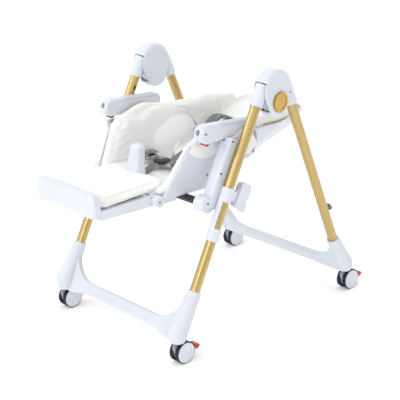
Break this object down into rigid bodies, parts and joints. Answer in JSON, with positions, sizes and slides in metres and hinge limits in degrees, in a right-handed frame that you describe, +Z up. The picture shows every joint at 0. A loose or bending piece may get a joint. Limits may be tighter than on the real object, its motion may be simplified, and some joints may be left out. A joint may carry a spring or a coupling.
{
  "type": "baby high chair",
  "caption": "Folding, reclining baby high chair: A-shaped tube frame on braked twin-wheel casters, height-adjustable padded seat, lifting armrests, tilting leg rest, safety harness",
  "frame": {"origin": "on the floor under the middle of the chair's width and depth at rest", "axes": "+X is the child's left, +Y runs back from the footboard to the head, +Z is up"},
  "size_m": [0.568, 0.9345, 0.76],
  "materials": {
    "gold_tube": "champagne gold anodised gloss",
    "tyre_rubber": "dark rubber",
    "red_plastic": "red gloss",
    "padding": "warm white quilted leatherette cushion",
    "webbing": "grey woven webbing",
    "black_plastic": "black",
    "black_steel": "black satin tube",
    "grey_plastic": "grey satin",
    "steel_pin": "bright pins",
    "white_plastic": "cool white moulded shell"
  },
  "bodies": {
    "front_frame": {"knuckle_left": "white_plastic", "knuckle_right": "white_plastic", "front_leg_left": "gold_tube", "front_leg_right": "gold_tube", "front_foot_left": "white_plastic", "front_foot_right": "white_plastic", "front_crossbar": "white_plastic"},
    "rear_frame": {"hub_outer_cover_left": "white_plastic", "hub_outer_cover_right": "white_plastic", "hub_inner_cover_left": "white_plastic", "hub_inner_cover_right": "white_plastic", "rear_leg_left": "gold_tube", "rear_leg_right": "gold_tube", "rear_foot_left": "white_plastic", "rear_foot_right": "white_plastic", "rear_crossbar": "white_plastic", "tray_hooks": "grey_plastic"},
    "hub_button_left": {"hub_button_left": "gold_tube"},
    "hub_button_right": {"hub_button_right": "gold_tube"},
    "seat": {"seat_carrier_left": "white_plastic", "seat_carrier_right": "white_plastic", "cross_tube": "black_steel", "seat_shell": "white_plastic", "seat_pad": "padding", "crotch_post": "white_plastic", "seat_pins": "steel_pin", "waist_straps": "webbing", "buckle": "black_plastic", "snap_fasteners": "grey_plastic"},
    "backrest": {"backrest_shell": "white_plastic", "backrest_pad": "padding", "shoulder_straps": "webbing"},
    "recline_lever": {"recline_lever": "grey_plastic"},
    "leg_rest": {"leg_rest_frame": "white_plastic", "footboard": "white_plastic", "leg_rest_pad": "padding"},
    "armrest_left": {"armrest_left": "white_plastic", "armrest_cover_left": "white_plastic"},
    "tray_trigger_left": {"tray_trigger_left": "red_plastic"},
    "height_lever_left": {"height_lever_left": "white_plastic"},
    "armrest_right": {"armrest_right": "white_plastic", "armrest_cover_right": "white_plastic"},
    "tray_trigger_right": {"tray_trigger_right": "red_plastic"},
    "height_lever_right": {"height_lever_right": "white_plastic"},
    "caster_front_left": {"caster_fork_front_left": "grey_plastic"},
    "wheels_front_left": {"tyres_front_left": "tyre_rubber", "wheel_discs_front_left": "white_plastic"},
    "brake_front_left": {"brake_pedal_front_left": "red_plastic"},
    "caster_front_right": {"caster_fork_front_right": "grey_plastic"},
    "wheels_front_right": {"tyres_front_right": "tyre_rubber", "wheel_discs_front_right": "white_plastic"},
    "brake_front_right": {"brake_pedal_front_right": "red_plastic"},
    "caster_rear_left": {"caster_fork_rear_left": "grey_plastic"},
    "wheels_rear_left": {"tyres_rear_left": "tyre_rubber", "wheel_discs_rear_left": "white_plastic"},
    "brake_rear_left": {"brake_pedal_rear_left": "red_plastic"},
    "caster_rear_right": {"caster_fork_rear_right": "grey_plastic"},
    "wheels_rear_right": {"tyres_rear_right": "tyre_rubber", "wheel_discs_rear_right": "white_plastic"},
    "brake_rear_right": {"brake_pedal_rear_right": "red_plastic"}
  },
  "joints": [
    {"name": "frame_fold", "type": "hinge", "parent": "front_frame", "child": "rear_frame", "pos_m": [0, 0.0727, 0.67], "axis": [-1, 0, 0], "range_deg": [0, 38]},
    {"name": "hub_button_left_press", "type": "slide", "parent": "rear_frame", "child": "hub_button_left", "axis": [-1, 0, 0], "range_m": [0, 0.005], "stiffness_N_per_m": 400, "springref_m": -0.002},
    {"name": "hub_button_right_press", "type": "slide", "parent": "rear_frame", "child": "hub_button_right", "axis": [1, 0, 0], "range_m": [0, 0.005], "stiffness_N_per_m": 400, "springref_m": -0.002},
    {"name": "seat_height", "type": "slide", "parent": "front_frame", "child": "seat", "axis": [0, 0.4509, 0.8926], "range_m": [-0.12, 0.02]},
    {"name": "backrest_recline", "type": "hinge", "parent": "seat", "child": "backrest", "pos_m": [0, -0.0173, 0.45], "axis": [1, 0, 0], "range_deg": [0, 52]},
    {"name": "recline_lever_squeeze", "type": "hinge", "parent": "backrest", "child": "recline_lever", "pos_m": [0, 0.27974, 0.49702], "axis": [1, 0, 0], "range_deg": [0, 6], "stiffness_Nm_per_rad": 2, "springref_deg": -5.73},
    {"name": "leg_rest_tilt", "type": "hinge", "parent": "seat", "child": "leg_rest", "pos_m": [0, -0.2573, 0.431], "axis": [1, 0, 0], "range_deg": [0, 75]},
    {"name": "armrest_left_lift", "type": "hinge", "parent": "seat", "child": "armrest_left", "pos_m": [0.203, -0.0023, 0.6], "axis": [-1, 0, 0], "range_deg": [0, 80]},
    {"name": "tray_trigger_left_pull", "type": "slide", "parent": "armrest_left", "child": "tray_trigger_left", "axis": [0, 0, 1], "range_m": [0, 0.004], "stiffness_N_per_m": 400, "springref_m": -0.002},
    {"name": "height_lever_left_squeeze", "type": "hinge", "parent": "seat", "child": "height_lever_left", "pos_m": [0.255, -0.08873, 0.43337], "axis": [-1, 0, 0], "range_deg": [0, 10], "stiffness_Nm_per_rad": 2, "springref_deg": -5.73},
    {"name": "armrest_right_lift", "type": "hinge", "parent": "seat", "child": "armrest_right", "pos_m": [-0.203, -0.0023, 0.6], "axis": [-1, 0, 0], "range_deg": [0, 80]},
    {"name": "tray_trigger_right_pull", "type": "slide", "parent": "armrest_right", "child": "tray_trigger_right", "axis": [0, 0, 1], "range_m": [0, 0.004], "stiffness_N_per_m": 400, "springref_m": -0.002},
    {"name": "height_lever_right_squeeze", "type": "hinge", "parent": "seat", "child": "height_lever_right", "pos_m": [-0.255, -0.08873, 0.43337], "axis": [-1, 0, 0], "range_deg": [0, 10], "stiffness_Nm_per_rad": 2, "springref_deg": -5.73},
    {"name": "caster_front_left_swivel", "type": "hinge", "parent": "front_frame", "child": "caster_front_left", "pos_m": [0.255, -0.30489, 0.0766], "axis": [0, 0, 1], "continuous": true},
    {"name": "wheels_front_left_spin", "type": "hinge", "parent": "caster_front_left", "child": "wheels_front_left", "pos_m": [0.255, -0.28689, 0.032], "axis": [1, 0, 0], "continuous": true},
    {"name": "brake_front_left_press", "type": "hinge", "parent": "caster_front_left", "child": "brake_front_left", "pos_m": [0.255, -0.27489, 0.043], "axis": [-1, 0, 0], "range_deg": [0, 12]},
    {"name": "caster_front_right_swivel", "type": "hinge", "parent": "front_frame", "child": "caster_front_right", "pos_m": [-0.255, -0.30489, 0.0766], "axis": [0, 0, 1], "continuous": true},
    {"name": "wheels_front_right_spin", "type": "hinge", "parent": "caster_front_right", "child": "wheels_front_right", "pos_m": [-0.255, -0.28689, 0.032], "axis": [1, 0, 0], "continuous": true},
    {"name": "brake_front_right_press", "type": "hinge", "parent": "caster_front_right", "child": "brake_front_right", "pos_m": [-0.255, -0.27489, 0.043], "axis": [-1, 0, 0], "range_deg": [0, 12]},
    {"name": "caster_rear_left_swivel", "type": "hinge", "parent": "rear_frame", "child": "caster_rear_left", "pos_m": [0.255, 0.39424, 0.0766], "axis": [0, 0, 1], "continuous": true},
    {"name": "wheels_rear_left_spin", "type": "hinge", "parent": "caster_rear_left", "child": "wheels_rear_left", "pos_m": [0.255, 0.41224, 0.032], "axis": [1, 0, 0], "continuous": true},
    {"name": "brake_rear_left_press", "type": "hinge", "parent": "caster_rear_left", "child": "brake_rear_left", "pos_m": [0.255, 0.42424, 0.043], "axis": [-1, 0, 0], "range_deg": [0, 12]},
    {"name": "caster_rear_right_swivel", "type": "hinge", "parent": "rear_frame", "child": "caster_rear_right", "pos_m": [-0.255, 0.39424, 0.0766], "axis": [0, 0, 1], "continuous": true},
    {"name": "wheels_rear_right_spin", "type": "hinge", "parent": "caster_rear_right", "child": "wheels_rear_right", "pos_m": [-0.255, 0.41224, 0.032], "axis": [1, 0, 0], "continuous": true},
    {"name": "brake_rear_right_press", "type": "hinge", "parent": "caster_rear_right", "child": "brake_rear_right", "pos_m": [-0.255, 0.42424, 0.043], "axis": [-1, 0, 0], "range_deg": [0, 12]}
  ]
}
